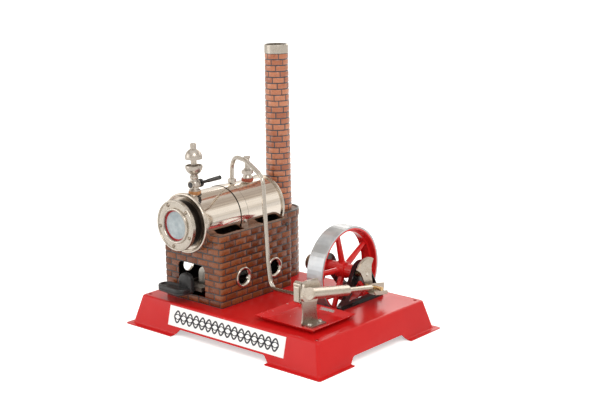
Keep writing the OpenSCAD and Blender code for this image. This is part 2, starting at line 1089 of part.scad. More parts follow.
module port_block()
{
    x0 = block_x0;
    y0 = -47.6;
    w = 19.6;
    color(nickel)
        difference()
        {
            union()
            {
                plate_x(x0, block_t - touch)
                    translate([y0 + w / 2, 49])
                        rounded_rect(w, 14, 2.2);
                // Exhaust stub on the block's upper corner
                along_x(x0 - 1.5, -43.4, 55.4)
                    cylinder(r = 2.6, h = block_t + 1.5 - touch);
            }
            along_x(x0 - cut, pivot_y, pivot_z)
                cylinder(r = axle_r + run_gap, h = 10);
            along_x(x0 - 2, -43.4, 55.4)
                cylinder(r = 1.4, h = 4);
        }
}

// Barrel with the sliding plate that rocks on the stand
module engine_cylinder()
{
    plate_t = 2.6;
    color(nickel)
        difference()
        {
            union()
            {
                on_bore(cyl_back + 1)
                    cylinder(r = barrel_r, h = cyl_front - cyl_back - 2.2);
                in_cylinder()
                {
                    plate_x(face_x + run_gap, plate_t)
                        rounded_rect(18.6, 15.6, 4);
                    translate([face_x + run_gap + plate_t - 0.01, cyl_back + 1, -3.4])
                        cube([cyl_x - face_x - plate_t - run_gap, 19, 6.8]);
                }
            }
            on_bore(cyl_back)
                cylinder(r = cyl_bore_r, h = 60);
            in_cylinder()
                along_x(face_x - 1, 0, 0)
                    cylinder(r = axle_r + touch, h = 2.4);
        }
}

module cylinder_rear_cap()
{
    color(nickel)
        on_bore(cyl_back)
            rotate_extrude()
                polygon(concat([[0, 0]], arc(4.3, 0.5, 0.5, 270, 360, 4), [[4.8, 1 - touch],
                    [cyl_bore_r - touch, 1 - touch], [cyl_bore_r - touch, 2.5], [0, 2.5]]));
}

module cylinder_gland()
{
    seat = cyl_front - 1.2;
    color(nickel)
        on_bore(seat)
            rotate_extrude()
                polygon([[rod_r + run_gap, -2.4], [cyl_bore_r - touch, -2.4], [cyl_bore_r - touch, touch],
                    [barrel_r, touch], [barrel_r, 0.5], [rod_r + 0.7, 1.6], [rod_r + run_gap, 1.6]]);
}

module pivot_pin()
{
    color("#a39b8c")
        along_x(face_x - 13, pivot_y, pivot_z)
            cylinder(r = axle_r, h = 14.3);
}

module pivot_nut()
{
    color(nickel)
        along_x(face_x - 12.6, pivot_y, pivot_z)
            difference()
            {
                cylinder(r = 2.9, h = 1.6, $fn = 6);
                translate([0, 0, -cut])
                    cylinder(r = axle_r + touch, h = 5);
            }
}

module pivot_spring()
{
    wire = 0.3;
    x0 = face_x - 11 + wire + touch;
    x1 = block_x0 - wire - 0.1;
    turns = 4;
    color("#8d8a84")
        along_x(x0, pivot_y, pivot_z)
            coil(axle_r + wire + 0.12, wire, turns, (x1 - x0) / turns);
}

module piston()
{
    color("#b08d57")
        on_bore(piston_back)
            difference()
            {
                cylinder(r = cyl_bore_r - run_gap, h = piston_l);
                // Oil groove
                translate([0, 0, 3])
                    ring(cyl_bore_r + 1, cyl_bore_r - 0.4, 0.8);
                translate([0, 0, piston_l - 3])
                    cylinder(r = 1.2 + touch, h = 4);
            }
}

// Rod with the trough-shaped end that the crank pin turns in
module piston_rod()
{
    t0 = piston_back + piston_l + touch;
    yoke = rod_len - 9;
    far_x = cyl_x - 1.4;
    near_x = cyl_x + 4.4;
    color(nickel)
        difference()
        {
            union()
            {
                on_bore(t0)
                    cylinder(r = rod_r, h = yoke + 4 - t0);
                on_bore(t0 - 2.6)
                    cylinder(r = 1.2, h = 4);
                in_cylinder()
                {
                    plate_x(far_x, 1)
                        polygon([[yoke, -2.1], [yoke + 4, -4.8], [yoke + 20.4, -4.8], [yoke + 21.4, -4],
                            [yoke + 21.4, 3.2], [yoke + 5.6, 3.1], [yoke + 1.4, 2.1], [yoke, 2.1]]);
                    translate([far_x, yoke + 4, -4.8])
                        cube([near_x + 1 - far_x, 14, 1]);
                    plate_x(near_x, 1)
                        polygon([[yoke + 2.2, -2.6], [yoke + 4, -4.8], [yoke + 18, -4.8],
                            [yoke + 19.4, -3.4], [yoke + 18.6, -1.7], [yoke + 3, -1.7]]);
                }
            }
            along_x(far_x - cut, pin_y, pin_z)
                cylinder(r = axle_r + touch, h = 3);
        }
}

module rod_end_bush()
{
    color("#c8a468")
        along_x(cyl_x - 2.3, pin_y, pin_z)
            cylinder(r = axle_r, h = 9.2);
}

// ---------------------------------------------------------------- crank, flywheel and stands

// Fan-shaped counterweight and crank web; +Y of the outline points away from the pin
module crank_2d()
{
    fan_r = 13.6;
    boss_r = 4.6;
    translate([0, -throw])
        circle(boss_r);
    polygon(concat(arc(0, 0, fan_r, 40, 140, 20),
        [[-7, 5], [-5.6, 0], [-4.8, -4], [-boss_r, -throw], [boss_r, -throw], [4.8, -4], [5.6, 0], [7, 5]]));
}

module crank_disc()
{
    color(nickel)
        translate([0, axis_y, axis_z])
            rotate([crank_angle + 90, 0, 0])
                difference()
                {
                    union()
                    {
                        plate_x(crank_x, crank_t)
                            crank_2d();
                        plate_x(crank_x + crank_t - 0.01, 0.5)
                            difference()
                            {
                                polygon(arc(0, 0, 12.6, 48, 132, 16));
                                circle(11.2);
                            }
                    }
                    along_x(crank_x - cut, 0, 0)
                        cylinder(r = axle_r - 0.3 + touch, h = 5);
                    along_x(crank_x - cut, 0, -throw)
                        cylinder(r = axle_r - 0.3 + touch, h = 5);
                }
}

module crank_pin()
{
    color("#c8a468")
        along_x(crank_x + touch, pin_y, pin_z)
        {
            cylinder(r = axle_r - 0.3, h = crank_t + 1);
            translate([0, 0, crank_t])
                cylinder(r = axle_r, h = 3);
        }
}

module axle()
{
    x0 = pulley_x - 0.8;
    color("#b8b2a6")
    {
        along_x(x0, axis_y, axis_z)
            cylinder(r = axle_r, h = crank_x - touch - x0);
        along_x(crank_x - 1, axis_y, axis_z)
            cylinder(r = axle_r - 0.3, h = crank_t + 1.4);
        // Riveted end over the crank disc
        along_x(crank_x + crank_t + touch, axis_y, axis_z)
            cylinder(r1 = 1.5, r2 = 0.9, h = 0.7);
    }
}

module pulley()
{
    color("#9c8a78")
        along_x(pulley_x, axis_y, axis_z)
            rotate_extrude()
                polygon([[axle_r + touch, 0], [pulley_r, 0], [pulley_r, 0.7], [pulley_r - 2, 1.7],
                    [pulley_r - 2, pulley_w - 1.7], [pulley_r, pulley_w - 0.7], [pulley_r, pulley_w],
                    [3, pulley_w], [3, pulley_w + 1], [axle_r + touch, pulley_w + 1]]);
}

module flywheel()
{
    rib_t = 2.2;
    rib_w = 5;
    rim_in = wheel_r - rim_t;
    color(red)
        along_x(wheel_x, axis_y, axis_z)
            difference()
            {
                union()
                {
                    translate([0, 0, -wheel_w / 2])
                        ring(wheel_r, rim_in, wheel_w);
                    translate([0, 0, -rib_w / 2])
                        ring(rim_in + 0.5, rim_in - rib_t, rib_w);
                    translate([0, 0, -hub_l / 2])
                        cylinder(r = hub_r, h = hub_l);
                    translate([0, 0, -4])
                        cylinder(r = hub_r + 1.3, h = 8);
                    for (i = [0 : spokes - 1])
                        rotate([0, 0, spoke_phase - 90 + 360 * i / spokes])
                            rotate([-90, 0, 0])
                                cylinder(r1 = 2.7, r2 = 1.9, h = rim_in - rib_t + 0.5);
                }
                translate([0, 0, -hub_l])
                    cylinder(r = axle_r + touch, h = 2 * hub_l);
            }
}

// Outline of a bearing stand seen along the axle, drawn g inside its edge
module stand_2d(g)
{
    r = stand_top_r - g;
    z0 = base_h + touch + g;
    lean = 20.6;
    flare_r = 9;
    knee = [stand_foot - 7.6 - 1.1 * g, z0 + 11];
    side = concat([[stand_foot - 2 * g, z0], [stand_foot - 2 * g, z0 + 2.6]],
        arc(knee[0] + flare_r * cos(lean), knee[1] + flare_r * sin(lean) - 0.6, flare_r,
            250, 180 + lean, 8),
        [[r * cos(lean), axis_z + r * sin(lean)]]);
    translate([axis_y, axis_z])
        circle(r);
    translate([axis_y, 0])
        polygon(concat(side, [for (i = [len(side) - 1 : -1 : 0]) [-side[i][0], side[i][1]]]));
}

module stand_window_2d()
{
    translate([axis_y, 0])
        polygon([[-12.5, 28.4], [12.5, 28.4], [12.8, 29.4], [2.6, 41], [1.4, 41.8], [-1.4, 41.8],
            [-2.6, 41], [-12.8, 29.4]]);
}

// Pressed stand: a web with a window, and a flange around it that grows away from the wheel
module bearing_stand(web_x, out)
{
    t = 1;
    difference()
    {
        translate([out > 0 ? web_x : web_x - stand_flange, 0, 0])
            plate_x(0, stand_flange)
                stand_2d(0);
        translate([out > 0 ? web_x + t : web_x - stand_flange - cut, 0, 0])
            plate_x(0, stand_flange - t + cut)
                stand_2d(t);
        plate_x(web_x - 2 * stand_flange, 4 * stand_flange)
            stand_window_2d();
        along_x(web_x - 2 * stand_flange, axis_y, axis_z)
            cylinder(r = 3 + touch, h = 4 * stand_flange);
    }
}

module near_bearing_stand()
{
    color(black)
        bearing_stand(near_web_x, 1);
}

module far_bearing_stand()
{
    color(black)
        bearing_stand(far_web_x, -1);
}

module bearing_bushes()
{
    color("#b08d57")
        for (x = [near_web_x - 0.4, far_web_x - 3])
            along_x(x, axis_y, axis_z)
                ring(3, axle_r + run_gap, 3.4);
}

// ---------------------------------------------------------------- nodes

base_plate();
label_plate();
boiler_house();
house_top();
side_vent_rings();
house_rivets();
chimney_base();
chimney_base_cover();
chimney();
chimney_cap();
boiler_drum();
boiler_front_cap();
boiler_back_cap();
gauge_ring();
gauge_glass();
gauge_gasket();
gauge_screws();
boiler_strap();
strap_screws();
whistle_gasket();
whistle_body();
whistle_plug();
whistle_lever();
whistle_cup();
whistle_stem();
whistle_bell();
valve_gasket();
valve_body();
valve_stem();
valve_spring();
pipe_union_nut();
steam_pipe();
pipe_ferrule();
burner_guide();
burner_tray();
fuel_basket();
fuel_tablets();
burner_handle();
drip_tray();
engine_stand();
stand_screws();
port_block();
engine_cylinder();
cylinder_rear_cap();
cylinder_gland();
pivot_pin();
pivot_spring();
pivot_nut();
piston();
piston_rod();
rod_end_bush();
crank_disc();
crank_pin();
flywheel();
axle();
pulley();
near_bearing_stand();
far_bearing_stand();
bearing_bushes();
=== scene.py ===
"""Looks of the model steam engine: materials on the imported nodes, and the detailed pieces that
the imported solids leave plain: the pressed base, the embossed bricks, the burner's grip and the
label's braid. Outlines and sizes are in millimetres of the row frame until MM scales them."""

import math
import random

import bmesh
import bpy
from mathutils import Matrix, Vector


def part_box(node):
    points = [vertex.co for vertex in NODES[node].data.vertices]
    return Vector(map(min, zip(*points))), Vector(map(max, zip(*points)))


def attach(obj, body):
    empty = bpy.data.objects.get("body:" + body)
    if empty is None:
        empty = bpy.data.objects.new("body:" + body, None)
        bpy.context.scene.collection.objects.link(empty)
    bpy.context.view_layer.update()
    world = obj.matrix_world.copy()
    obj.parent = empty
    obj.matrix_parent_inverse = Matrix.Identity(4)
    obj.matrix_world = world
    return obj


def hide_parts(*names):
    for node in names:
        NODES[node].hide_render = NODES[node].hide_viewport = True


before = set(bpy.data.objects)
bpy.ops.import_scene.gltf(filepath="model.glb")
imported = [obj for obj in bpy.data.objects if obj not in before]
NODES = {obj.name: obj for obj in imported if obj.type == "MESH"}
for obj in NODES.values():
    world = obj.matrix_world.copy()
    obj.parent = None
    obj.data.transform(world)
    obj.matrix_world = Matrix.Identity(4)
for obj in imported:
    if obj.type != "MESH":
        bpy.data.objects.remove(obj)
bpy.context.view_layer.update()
MM = 0.001
TAU = 2 * math.pi


# ------------------------------------------------------------------ camera, lights, stage

CAMERA_AT = Vector((0.6181, -0.6797, 0.3147))
CAMERA_AZIMUTH = 41.275
CAMERA_ELEVATION = 12.99
CAMERA_ROLL = -0.828
CAMERA_LENS = 72.55


def make_camera():
    azimuth, elevation, roll = map(math.radians, (CAMERA_AZIMUTH, CAMERA_ELEVATION, CAMERA_ROLL))
    back = Vector((
        math.sin(azimuth) * math.cos(elevation),
        -math.cos(azimuth) * math.cos(elevation),
        math.sin(elevation),
    ))
    turn = (-back).to_track_quat("-Z", "Y").to_matrix().to_4x4()
    camera = bpy.data.objects.new("camera", bpy.data.cameras.new("camera"))
    bpy.context.scene.collection.objects.link(camera)
    camera.matrix_world = Matrix.Translation(CAMERA_AT) @ turn @ Matrix.Rotation(roll, 4, "Z")
    camera.data.lens = CAMERA_LENS
    camera.data.sensor_width = 36
    camera.data.clip_start = 0.01
    camera.data.clip_end = 20
    bpy.context.scene.camera = camera


def area_light(name, place, aim, size, power, color=(1, 1, 1)):
    light = bpy.data.lights.new(name, "AREA")
    light.shape = "RECTANGLE"
    light.size, light.size_y = size
    light.energy = power
    light.color = color
    obj = bpy.data.objects.new(name, light)
    bpy.context.scene.collection.objects.link(obj)
    obj.location = place
    obj.rotation_mode = "QUATERNION"
    obj.rotation_quaternion = (Vector(aim) - Vector(place)).to_track_quat("-Z", "Y")
    obj.visible_camera = False


def make_world():
    """White behind the object, and for everything else a studio that the nickel can reflect."""
    world = bpy.data.worlds.new("studio")
    bpy.context.scene.world = world
    world.use_nodes = True
    tree = world.node_tree
    tree.nodes.clear()
    output = tree.nodes.new("ShaderNodeOutputWorld")
    coord = tree.nodes.new("ShaderNodeTexCoord")
    split = tree.nodes.new("ShaderNodeSeparateXYZ")
    tree.links.new(coord.outputs["Generated"], split.inputs[0])
    ramp = tree.nodes.new("ShaderNodeValToRGB")
    stops = [
        (0.00, (0.75, 0.74, 0.72)), (0.49, (0.85, 0.84, 0.82)), (0.54, (0.74, 0.71, 0.67)),
        (0.60, (0.84, 0.80, 0.74)), (0.66, (1.0, 0.97, 0.92)), (0.735, (1.0, 0.96, 0.90)),
        (0.77, (0.56, 0.50, 0.44)), (0.85, (0.50, 0.44, 0.39)), (0.89, (1.0, 0.98, 0.95)),
        (1.00, (1.0, 0.99, 0.97)),
    ]
    fill_ramp(ramp, stops)
    to_unit = tree.nodes.new("ShaderNodeMapRange")
    to_unit.inputs["From Min"].default_value = -1
    tree.links.new(split.outputs["Z"], to_unit.inputs["Value"])
    tree.links.new(to_unit.outputs["Result"], ramp.inputs[0])
    # Uneven bands of light, which a drawn nickel surface smears into streaks
    band = tree.nodes.new("ShaderNodeTexNoise")
    band.noise_dimensions = "1D"
    band.inputs["Scale"].default_value = 26
    band.inputs["Detail"].default_value = 3
    tree.links.new(split.outputs["Z"], band.inputs["W"])
    strength = tree.nodes.new("ShaderNodeMapRange")
    strength.inputs["From Min"].default_value = 0.3
    strength.inputs["From Max"].default_value = 0.7
    strength.inputs["To Min"].default_value = 0.85
    strength.inputs["To Max"].default_value = 1.2
    tree.links.new(band.outputs["Fac"], strength.inputs["Value"])
    studio = tree.nodes.new("ShaderNodeBackground")
    tree.links.new(strength.outputs["Result"], studio.inputs["Strength"])
    tree.links.new(ramp.outputs[0], studio.inputs["Color"])
    white = tree.nodes.new("ShaderNodeBackground")
    white.inputs["Strength"].default_value = 1.05
    path = tree.nodes.new("ShaderNodeLightPath")
    mix = tree.nodes.new("ShaderNodeMixShader")
    tree.links.new(path.outputs["Is Camera Ray"], mix.inputs[0])
    tree.links.new(studio.outputs[0], mix.inputs[1])
    tree.links.new(white.outputs[0], mix.inputs[2])
    tree.links.new(mix.outputs[0], output.inputs[0])


def fill_ramp(node, stops):
    elements = node.color_ramp.elements
    for one, (place, color) in zip((elements[0], elements[1]), (stops[0], stops[-1])):
        one.position = place
        one.color = (*color, 1)
    for place, color in stops[1:-1]:
        elements.new(place).color = (*color, 1)


def make_stage():
    bm = bmesh.new()
    bmesh.ops.create_grid(bm, x_segments=1, y_segments=1, size=6)
    floor = link_mesh("floor", bm)
    floor.location.z = -0.05 * MM
    look = Look("floor_white", (0.93, 0.93, 0.93), 0.55)
    look.set("Specular IOR Level", 0.2)
    look.set("Emission Color", (1, 1, 1, 1))
    seen = look.node("ShaderNodeLightPath").outputs["Is Camera Ray"]
    look.link(look.smooth(seen, 0, 1, 0.03, 0.5), "Emission Strength")
    floor.data.materials.append(look.material)
    target = (0, 0, 0.07)
    area_light("key", (0.75, -0.45, 0.95), target, (0.7, 0.5), 4.2)
    area_light("left_front", (-0.75, -0.85, 0.40), target, (0.8, 0.6), 2.3)
    area_light("back", (-0.15, 1.0, 0.55), target, (1.2, 0.4), 3, (1, 0.98, 0.95))


# ------------------------------------------------------------------ materials


class Look:
    """A Principled material whose patterns lie in the row frame, sized in millimetres."""

    def __init__(self, name, color, roughness, metallic=0.0, coat=0.0):
        self.material = bpy.data.materials.new(name)
        self.material.use_nodes = True
        self.tree = self.material.node_tree
        self.shader = self.tree.nodes["Principled BSDF"]
        self.set("Base Color", (*color, 1))
        self.set("Roughness", roughness)
        self.set("Metallic", metallic)
        if coat:
            self.set("Coat Weight", coat)
            self.set("Coat Roughness", 0.06)
        self.material.diffuse_color = (*color, 1)
        self.position = self.tree.nodes.new("ShaderNodeTexCoord").outputs["Object"]
        self.normal = None

    def set(self, socket, value):
        self.shader.inputs[socket].default_value = value

    def link(self, source, socket):
        self.tree.links.new(source, self.shader.inputs[socket])

    def node(self, kind, inputs=(), **settings):
        made = self.tree.nodes.new(kind)
        for key, value in settings.items():
            setattr(made, key, value)
        for key, value in dict(inputs).items():
            if isinstance(value, bpy.types.NodeSocket):
                self.tree.links.new(value, made.inputs[key])
            else:
                made.inputs[key].default_value = value
        return made

    def math(self, operation, a, b=0.0, c=0.0):
        return self.node("ShaderNodeMath", {0: a, 1: b, 2: c}, operation=operation).outputs[0]

    def axes(self):
        return self.node("ShaderNodeSeparateXYZ", {0: self.position}).outputs

    def radius(self, a, a0, b, b0):
        """Distance from the axis through (a0, b0) in the plane of a and b."""
        da = self.math("SUBTRACT", a, a0)
        db = self.math("SUBTRACT", b, b0)
        squares = self.math("ADD", self.math("MULTIPLY", da, da), self.math("MULTIPLY", db, db))
        return self.math("SQRT", squares)

    def stretched(self, sx, sy, sz):
        mapping = self.node("ShaderNodeMapping", {"Vector": self.position, "Scale": (sx, sy, sz)})
        return mapping.outputs[0]

    def noise(self, grain_mm, detail=3.0, roughness=0.55, vector=None):
        made = self.node("ShaderNodeTexNoise", {
            "Vector": vector or self.position, "Scale": 1 / (grain_mm * MM), "Detail": detail,
            "Roughness": roughness})
        return made.outputs["Fac"]

    def smooth(self, value, low, high, out_low=0.0, out_high=1.0):
        made = self.node("ShaderNodeMapRange", {
            "Value": value, "From Min": low, "From Max": high, "To Min": out_low, "To Max": out_high},
            interpolation_type="SMOOTHSTEP")
        return made.outputs["Result"]

    def ramp(self, value, stops):
        made = self.node("ShaderNodeValToRGB", {0: value})
        fill_ramp(made, stops)
        return made.outputs["Color"]

    def mix(self, share, a, b):
        made = self.node("ShaderNodeMix", {"Factor": share}, data_type="RGBA")
        for socket, value in ((made.inputs["A"], a), (made.inputs["B"], b)):
            self.mix_input(made, socket, value)
        return [o for o in made.outputs if o.type == "RGBA"][0]

    def mix_input(self, made, socket, value):
        socket = [s for s in made.inputs if s.type == "RGBA" and s.name == socket.name][0]
        if isinstance(value, bpy.types.NodeSocket):
            self.tree.links.new(value, socket)
        else:
            socket.default_value = (*value, 1)

    def bump(self, height, depth_mm, strength=1.0):
        made = self.node("ShaderNodeBump", {
            "Height": height, "Distance": depth_mm * MM, "Strength": strength})
        if self.normal:
            self.tree.links.new(self.normal, made.inputs["Normal"])
        self.normal = made.outputs["Normal"]
        self.link(self.normal, "Normal")


def red_enamel():
    look = Look("red_enamel_gloss", (0.56, 0.010, 0.011), 0.24)
    look.set("Specular IOR Level", 0.25)
    cloud = look.noise(34, 3)
    color = look.mix(look.smooth(cloud, 0.3, 0.7), (0.545, 0.009, 0.010), (0.585, 0.012, 0.012))
    _, _, z = look.axes()
    # Chips of bare primer along the rims of the tray and of the foot flange
    rim = look.math("MAXIMUM", look.smooth(z, 0.0267, 0.0277), look.smooth(z, 0.0011, 0.0005))
    flat = look.smooth(z, 0.0282, 0.0290, 1, 0)
    spots = look.smooth(look.noise(2.6, 2, 0.6), 0.61, 0.64)
    chips = look.math("MULTIPLY", look.math("MULTIPLY", rim, flat), spots)
    color = look.mix(chips, color, (0.10, 0.085, 0.075))
    look.link(color, "Base Color")
    look.link(look.smooth(look.noise(22, 2), 0.3, 0.7, 0.22, 0.27), "Roughness")
    look.bump(look.noise(2.2, 2), 0.008, 0.15)
    return look.material


def tray_enamel():
    look = Look("tray_enamel_chipped", (0.62, 0.012, 0.014), 0.27)
    look.set("Specular IOR Level", 0.35)
    cloud = look.noise(14, 4)
    color = look.mix(look.smooth(cloud, 0.3, 0.7), (0.62, 0.012, 0.013), (0.70, 0.018, 0.018))
    x, y, z = look.axes()
    spots = look.smooth(look.noise(2.2, 3, 0.7), 0.655, 0.675)
    rim = look.smooth(z, 0.0262, 0.0276)
    few = look.smooth(look.noise(3.4, 3, 0.75), 0.70, 0.715)
    # One long chip on the inner wall next to the flywheel
    along = look.math("MULTIPLY", look.smooth(x, 0.047, 0.049), look.smooth(x, 0.060, 0.063, 1, 0))
    wall = look.math("MULTIPLY", look.smooth(y, -0.0098, -0.0092),
                     look.smooth(y, -0.0076, -0.0070, 1, 0))
    torn = look.smooth(look.noise(1.6, 3, 0.6), 0.42, 0.46)
    long_chip = look.math("MULTIPLY", look.math("MULTIPLY", along, wall), torn)
    scattered = look.math("MAXIMUM", look.math("MULTIPLY", rim, spots), few)
    chips = look.math("MAXIMUM", scattered, long_chip)
    look.link(look.mix(chips, color, (0.50, 0.49, 0.47)), "Base Color")
    look.link(look.smooth(chips, 0, 1, 0.24, 0.5), "Roughness")
    look.bump(look.math("SUBTRACT", look.noise(1.5, 2), chips), 0.03, 0.4)
    return look.material


def nickel(name, roughness, color, stretch=(1, 1, 1), grain=5.0, stain=0.25, crease_shade=()):
    """Nickel plate: a warm bright metal with faint streaks along its drawing direction."""
    look = Look(name, color, roughness, metallic=1.0)
    along = look.stretched(*stretch)
    streak = look.noise(grain, 5, 0.65, along)
    fine = look.noise(grain * 0.22, 3, 0.6, along)
    dark = tuple(c * f for c, f in zip(color, (0.80, 0.74, 0.66)))
    tint = look.smooth(look.noise(9, 3), 0.52, 0.80, 0, stain)
    plate = look.mix(tint, look.mix(look.smooth(streak, 0.35, 0.75, 0, 0.35), color, dark), dark)
    # Painted shade in rings across the y axis, where a strap's raised edge meets the drum
    for edge in crease_shade:
        away = look.math("ABSOLUTE", look.math("SUBTRACT", look.axes()[1], edge))
        plate = look.mix(look.smooth(away, 0.22 * MM, 0.5 * MM, 0.85, 0), plate, (0.06, 0.05, 0.04))
    look.link(plate, "Base Color")
    look.link(look.smooth(fine, 0.3, 0.75, roughness * 0.75, roughness * 1.5), "Roughness")
    look.bump(look.math("ADD", streak, look.math("MULTIPLY", fine, 0.5)), 0.012, 0.35)
    return look.material


def neck_painted_shade():
    """The boiler's front end: bright flange, and painted shade in the hollow around the sight glass's neck.
    """
    look = Look("nickel_neck_painted_shade", (0.66, 0.595, 0.52), 0.22, metallic=1.0)
    low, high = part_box("boiler_front_cap")
    centre = (low + high) / 2
    x, _, z = look.axes()
    r = look.radius(x, centre.x, z, centre.z)
    bright = look.smooth(r, 0.0172, 0.0196)
    streak = look.smooth(look.noise(3, 4), 0.3, 0.75)
    metal = look.mix(streak, (0.70, 0.635, 0.56), (0.58, 0.51, 0.43))
    # Inside the flange's radius the nickel is painted near black: painted shade in the hollow
    look.link(look.mix(bright, (0.085, 0.072, 0.062), metal), "Base Color")
    look.link(look.smooth(bright, 0, 1, 0.42, 0.2), "Roughness")
    look.bump(look.noise(1.2, 3), 0.01, 0.3)
    return look.material


def steel(name, color, roughness, grain=1.2):
    look = Look(name, color, roughness, metallic=1.0)
    spots = look.smooth(look.noise(grain, 4), 0.45, 0.75)
    look.link(look.mix(spots, color, tuple(c * 0.62 for c in color)), "Base Color")
    gloss = look.smooth(look.noise(grain * 0.4, 3), 0.3, 0.7, roughness * 0.8, roughness * 1.4)
    look.link(gloss, "Roughness")
    look.bump(look.noise(grain * 0.3, 2), 0.01, 0.3)
    return look.material


def flywheel_two_tone():
    """Bare zinc-grey rim outside, red enamel on the spokes, hub and inner ring."""
    look = Look("flywheel_rim_and_enamel", (0.6, 0.02, 0.02), 0.2)
    low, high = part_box("flywheel")
    centre = (low + high) / 2
    radius = (high.z - low.z) / 2
    _, y, z = look.axes()
    r = look.radius(y, centre.y, z, centre.z)
    rim = look.smooth(r, radius - 1.5 * MM, radius - 1.3 * MM)
    turned = look.noise(1.1, 4, 0.6, look.stretched(6, 1, 1))
    patches = look.noise(12, 4)
    grey = look.mix(look.smooth(patches, 0.35, 0.7), (0.47, 0.49, 0.51), (0.62, 0.63, 0.64))
    grey = look.mix(look.smooth(turned, 0.5, 0.8, 0, 0.35), grey, (0.40, 0.41, 0.43))
    red = look.mix(look.smooth(look.noise(10, 3), 0.3, 0.7), (0.60, 0.010, 0.012), (0.70, 0.020, 0.018))
    look.link(look.mix(rim, red, grey), "Base Color")
    look.link(look.smooth(rim, 0, 1, 0, 0.85), "Metallic")
    look.link(look.smooth(rim, 0, 1, 0.16, 0.33), "Roughness")
    look.set("Coat Weight", 0.2)
    look.set("Coat Roughness", 0.1)
    look.bump(look.noise(1.4, 3), 0.02, 0.3)
    return look.material


def brick_face(name, dark, main, light, coat=0.3):
    """Printed and embossed bricks: each brick has its own tone, with smudged faces."""
    gloss = 0.2
    look = Look(name, main, gloss)
    look.set("Specular IOR Level", 0.3)
    look.set("Coat Weight", coat)
    look.set("Coat Roughness", 0.12)
    tone = look.node("ShaderNodeAttribute", attribute_name="tone").outputs["Fac"]
    base = look.ramp(tone, [(0.0, dark), (0.45, main), (1.0, light)])
    smudge = look.smooth(look.noise(2.4, 5, 0.7, look.stretched(1, 1, 2.2)), 0.52, 0.78, 0, 0.8)
    base = look.mix(smudge, base, tuple(c * 0.42 for c in dark))
    scratch = look.smooth(look.noise(0.8, 3, 0.6, look.stretched(1, 1, 3)), 0.60, 0.80, 0, 0.5)
    look.link(look.mix(scratch, base, light), "Base Color")
    look.link(look.smooth(look.noise(1.7, 3), 0.3, 0.7, gloss * 0.7, gloss * 1.6), "Roughness")
    look.bump(look.noise(1.1, 4, 0.6), 0.08, 0.35)
    return look.material


def mortar(name, color, inside=(0.012, 0.011, 0.010)):
    """Sunk joints between the bricks; the faces inside the house are near black."""
    look = Look(name, color, 0.28, coat=0.2)
    spread = look.smooth(look.noise(3, 4), 0.35, 0.7)
    outer = look.mix(spread, tuple(c * 0.7 for c in color), tuple(c * 1.35 for c in color))
    low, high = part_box("boiler_house")
    x, y, z = look.axes()
    middle = (low + high) / 2
    inset = 0.5 * MM
    off_x = look.math("SUBTRACT", (high.x - low.x) / 2 - inset, look.math(
        "ABSOLUTE", look.math("SUBTRACT", x, middle.x)))
    off_y = look.math("SUBTRACT", (high.y - low.y) / 2 - inset, look.math(
        "ABSOLUTE", look.math("SUBTRACT", y, middle.y)))
    # Faces more than half a millimetre inside the house's box are near black
    inner_face = look.smooth(look.math("MINIMUM", off_x, off_y), -0.1 * MM, 0.1 * MM)
    look.link(look.mix(inner_face, outer, inside), "Base Color")
    look.link(look.smooth(inner_face, 0, 1, 0.28, 0.8), "Roughness")
    look.bump(look.noise(0.9, 3), 0.05, 0.4)
    return look.material


def chimney_sheet():
    """Printed joints outside, plain tin inside the tube."""
    look = Look("mortar_chimney", (0.05, 0.047, 0.055), 0.25, coat=0.3)
    low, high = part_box("chimney")
    centre = (low + high) / 2
    bore = 0.8 * (high.x - low.x) / 2
    x, y, _ = look.axes()
    r = look.radius(x, centre.x, y, centre.y)
    outside = look.smooth(r, bore, bore + 0.3 * MM)
    spread = look.smooth(look.noise(3, 4), 0.3, 0.7)
    joints = look.mix(spread, (0.035, 0.033, 0.038), (0.065, 0.061, 0.072))
    tin = look.mix(spread, (0.40, 0.37, 0.33), (0.52, 0.48, 0.43))
    look.link(look.mix(outside, tin, joints), "Base Color")
    look.link(look.smooth(outside, 0, 1, 0.4, 0.25), "Roughness")
    look.bump(look.noise(0.8, 3), 0.02, 0.4)
    return look.material


def painted(name, color, roughness, grain=4.0, spread=0.25, coat=0.0, depth=0.02):
    look = Look(name, color, roughness, coat=coat)
    share = look.smooth(look.noise(grain, 4), 0.3, 0.7)
    look.link(look.mix(share, tuple(c * (1 - spread) for c in color),
                       tuple(min(1, c * (1 + spread)) for c in color)), "Base Color")
    gloss = look.smooth(look.noise(grain * 0.5, 3), 0.3, 0.7, roughness * 0.75, roughness * 1.3)
    look.link(gloss, "Roughness")
    look.bump(look.noise(grain * 0.25, 3), depth, 0.4)
    return look.material


def sight_glass():
    look = Look("sight_glass_painted_reflection", (0.40, 0.48, 0.52), 0.06)
    # The pane's pale blue-grey is a painted reflection, with only a little real transmission; the dark specks
    # are dirt
    cloud = look.noise(7, 4, 0.6)
    color = look.mix(look.smooth(cloud, 0.3, 0.7), (0.33, 0.40, 0.44), (0.50, 0.57, 0.60))
    specks = look.smooth(look.noise(0.9, 3, 0.7), 0.70, 0.76, 0, 0.7)
    look.link(look.mix(specks, color, (0.14, 0.17, 0.18)), "Base Color")
    look.set("Transmission Weight", 0.12)
    look.set("IOR", 1.5)
    look.set("Coat Weight", 0.6)
    look.set("Coat Roughness", 0.03)
    look.bump(look.noise(2.5, 2), 0.01, 0.2)
    return look.material


def label_paper():
    look = Look("label_film", (0.93, 0.93, 0.925), 0.30, coat=0.2)
    cloud = look.smooth(look.noise(18, 3), 0.3, 0.7)
    look.link(look.mix(cloud, (0.92, 0.92, 0.915), (0.95, 0.95, 0.945)), "Base Color")
    look.bump(look.noise(2.5, 2), 0.015, 0.3)
    return look.material


def fuel():
    look = Look("fuel_tablet", (0.82, 0.80, 0.74), 0.75)
    cloud = look.smooth(look.noise(0.8, 4), 0.4, 0.7)
    look.link(look.mix(cloud, (0.86, 0.84, 0.79), (0.62, 0.59, 0.53)), "Base Color")
    look.bump(look.noise(0.5, 4), 0.08, 0.6)
    return look.material


# ------------------------------------------------------------------ meshes


